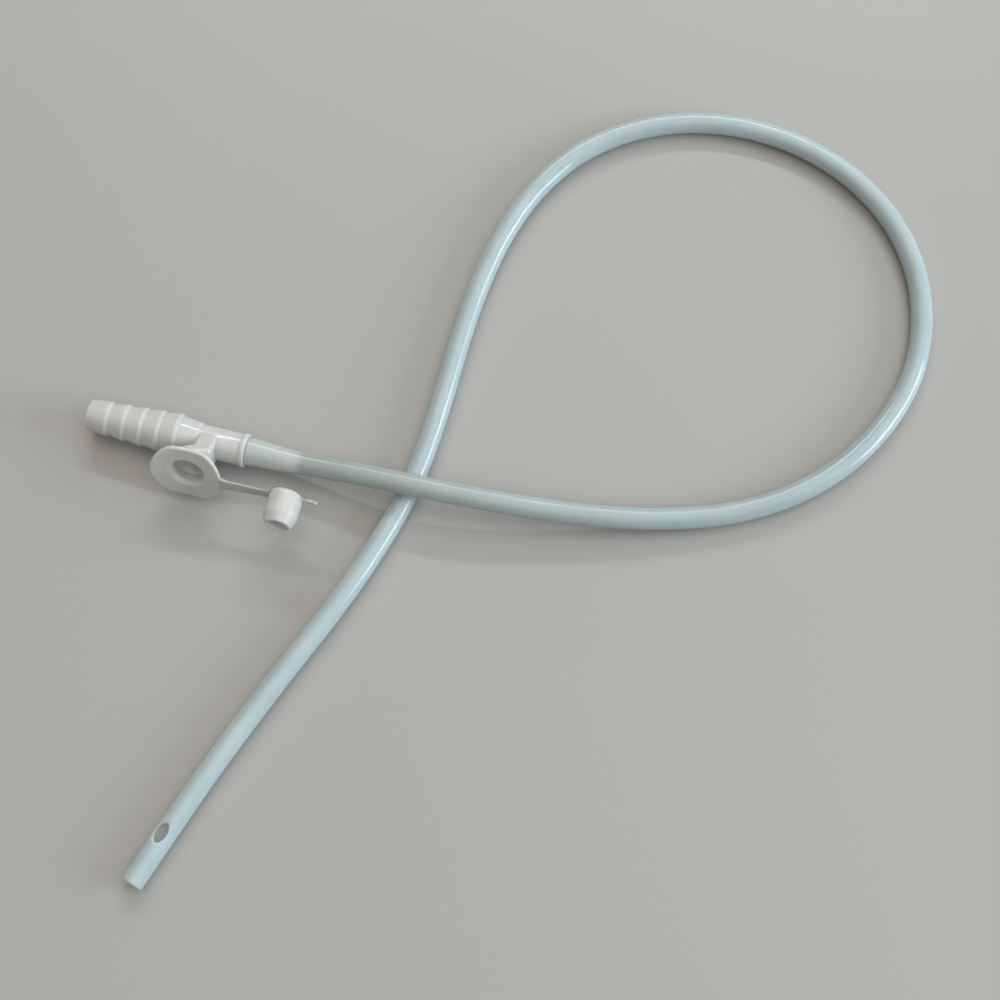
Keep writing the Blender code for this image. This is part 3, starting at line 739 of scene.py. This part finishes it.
def plate_ring(inset, share, depth):
    """A ring of the dished plate: a circle with two flats, set in from the rim and lowered from its face."""
    ring = []
    for index in range(PLATE_STEPS):
        turn = 2 * math.pi * index / PLATE_STEPS
        flat = PLATE_UPPER_FLAT if math.sin(turn) > 0 else PLATE_LOWER_FLAT
        nearness = ((PLATE_RADIUS / MM) ** -PLATE_CORNER_POWER
                    + (abs(math.sin(turn)) / flat) ** PLATE_CORNER_POWER)
        reach = (nearness ** (-1 / PLATE_CORNER_POWER) - inset) * share
        x = reach * math.cos(turn)
        ring.append((x, reach * math.sin(turn), PLATE_CURL * MM * x * x - depth))
    return ring


def thumb_plate():
    """The plate with its rounded rim, from the middle of its face to the middle of its back."""
    shares = [index / PLATE_RINGS for index in range(3, PLATE_RINGS)]
    rings = [plate_ring(PLATE_EDGE, share, 0) for share in shares]
    for index in range(PLATE_RINGS + 1):
        turn = math.radians(90 - 180 * index / PLATE_RINGS)
        rings.append(plate_ring(PLATE_EDGE - PLATE_EDGE * math.cos(turn), 1,
                                PLATE_EDGE - PLATE_EDGE * math.sin(turn)))
    rings += [plate_ring(PLATE_EDGE, share, 2 * PLATE_EDGE) for share in reversed(shares)]
    return lofted("thumb_plate", rings)


def funnel_rings():
    return [round_ring(*ring) for ring in FUNNEL]


def vent_cutter():
    """The plug's seat with its rounded mouth, and the funnel below it."""
    return lofted("vent_cutter", funnel_rings() + [round_ring(*ring) for ring in SEAT])


def connector(material):
    """One moulding: the crisp turned nipple and collar, and the port whose edges all run softly together."""
    port = port_neck()
    join(port, [thumb_plate()])
    cut(port, [vent_cutter()])
    remesh = port.modifiers.new("remesh", "REMESH")
    remesh.mode = "VOXEL"
    remesh.voxel_size = SOFT_GRAIN
    soften = port.modifiers.new("soften", "SMOOTH")
    soften.factor = 0.5
    soften.iterations = SOFT_ROUNDS
    settle(port)
    body = turned_body("connector", connector_outline(), ALONG_AXIS, BODY_STEPS)
    join(body, [port])
    cut(body, [turned_solid("passage_cutter", PASSAGE_PUNCH, ALONG_AXIS, PUNCH_STEPS),
               lofted("funnel", funnel_rings())])
    finish_piece(body, material, BODY_CREASE)
    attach(body, "connector")
    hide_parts("connector_body")


# Camera, light and floor
def add_camera():
    """The photograph's view."""
    camera = add_object("camera", bpy.data.cameras.new("camera"))
    camera.data.sensor_width = SENSOR_WIDTH
    camera.data.lens = LENS
    camera.data.clip_start = 0.01
    flat = math.cos(VIEW_ELEVATION)
    aim = Vector((-math.sin(VIEW_AZIMUTH) * flat, math.cos(VIEW_AZIMUTH) * flat, -math.sin(VIEW_ELEVATION)))
    camera.location = CAMERA_PLACE
    camera.rotation_euler = aim.to_track_quat("-Z", "Y").to_euler()
    bpy.context.scene.camera = camera


def add_lamp(name, size, power, colour):
    light = bpy.data.lights.new(name, "AREA")
    light.shape = "RECTANGLE"
    light.size, light.size_y = size
    light.energy = power
    light.color = colour
    return add_object(name, light)


def add_area_light(name, place, size, power, colour):
    """A wide lamp that faces the object."""
    item = add_lamp(name, size, power, colour)
    item.location = place
    item.rotation_euler = (LAMP_TARGET - Vector(place)).to_track_quat("-Z", "Y").to_euler()


def add_strip_light(name, start, end, width, power, colour):
    """A long thin lamp between two points, which faces the object."""
    start, end = Vector(start), Vector(end)
    item = add_lamp(name, ((end - start).length, width), power, colour)
    middle = (start + end) / 2
    along = (end - start).normalized()
    back = middle - LAMP_TARGET
    back = (back - along * back.dot(along)).normalized()
    turn = Matrix((along, back.cross(along), back)).transposed().to_4x4()
    item.matrix_world = Matrix.Translation(middle) @ turn


def add_floor():
    """A wide table under the object."""
    bpy.ops.mesh.primitive_plane_add(size=4, location=(0.08, 0, 0))
    floor = bpy.context.object
    floor.name = "floor"
    floor.data.materials.append(floor_material())


def add_world():
    """A room: brighter overhead and towards +Y, cool towards +X, dim and warm towards -X."""
    world = bpy.data.worlds.new("world")
    world.use_nodes = True
    nodes, links = world.node_tree.nodes, world.node_tree.links
    way = nodes.new("ShaderNodeSeparateXYZ")
    links.new(nodes.new("ShaderNodeTexCoord").outputs["Generated"], way.inputs["Vector"])
    across = spread(nodes, links, way.outputs["X"], 0, 1, start=-1)
    overhead = spread(nodes, links, way.outputs["Z"], 0.3, 1.3, start=0.55, end=0.92, smooth=True)
    ahead = spread(nodes, links, way.outputs["Y"], 0.8, 1.3, start=-1)
    strength = nodes.new("ShaderNodeMath")
    strength.operation = "MULTIPLY"
    links.new(overhead, strength.inputs[0])
    links.new(ahead, strength.inputs[1])
    links.new(ramp(nodes, links, across, ROOM_COLOURS), nodes["Background"].inputs["Color"])
    links.new(strength.outputs["Value"], nodes["Background"].inputs["Strength"])
    bpy.context.scene.world = world


def main():
    bpy.context.scene.view_settings.view_transform = "Standard"
    add_camera()
    catheter_tube(tube_plastic("tube_plastic"))
    connector(moulded_plastic("white_plastic", CONNECTOR_WHITES, roughness=0.14, subsurface=0.6))
    vent_plug(moulded_plastic("soft_white_plastic", PLUG_WHITES, roughness=0.28, subsurface=0.6))
    pull_tab(clear_plastic("clear_plastic"))
    # The strap's darker, warmer colour is painted shade
    tether_strap(moulded_plastic("strap_plastic", STRAP_SHADED_WHITES, roughness=0.3, subsurface=0.3))
    add_floor()
    add_area_light("window", place=(1.2, 0.1, 0.42), size=(0.7, 0.45), power=9.5, colour=(0.80, 0.90, 1))
    add_strip_light("strip", start=(-0.55, 0.9, 0.76), end=(0.35, 0.9, 0.76), width=0.06, power=4.2,
                    colour=(0.90, 0.95, 1))
    add_world()


main()
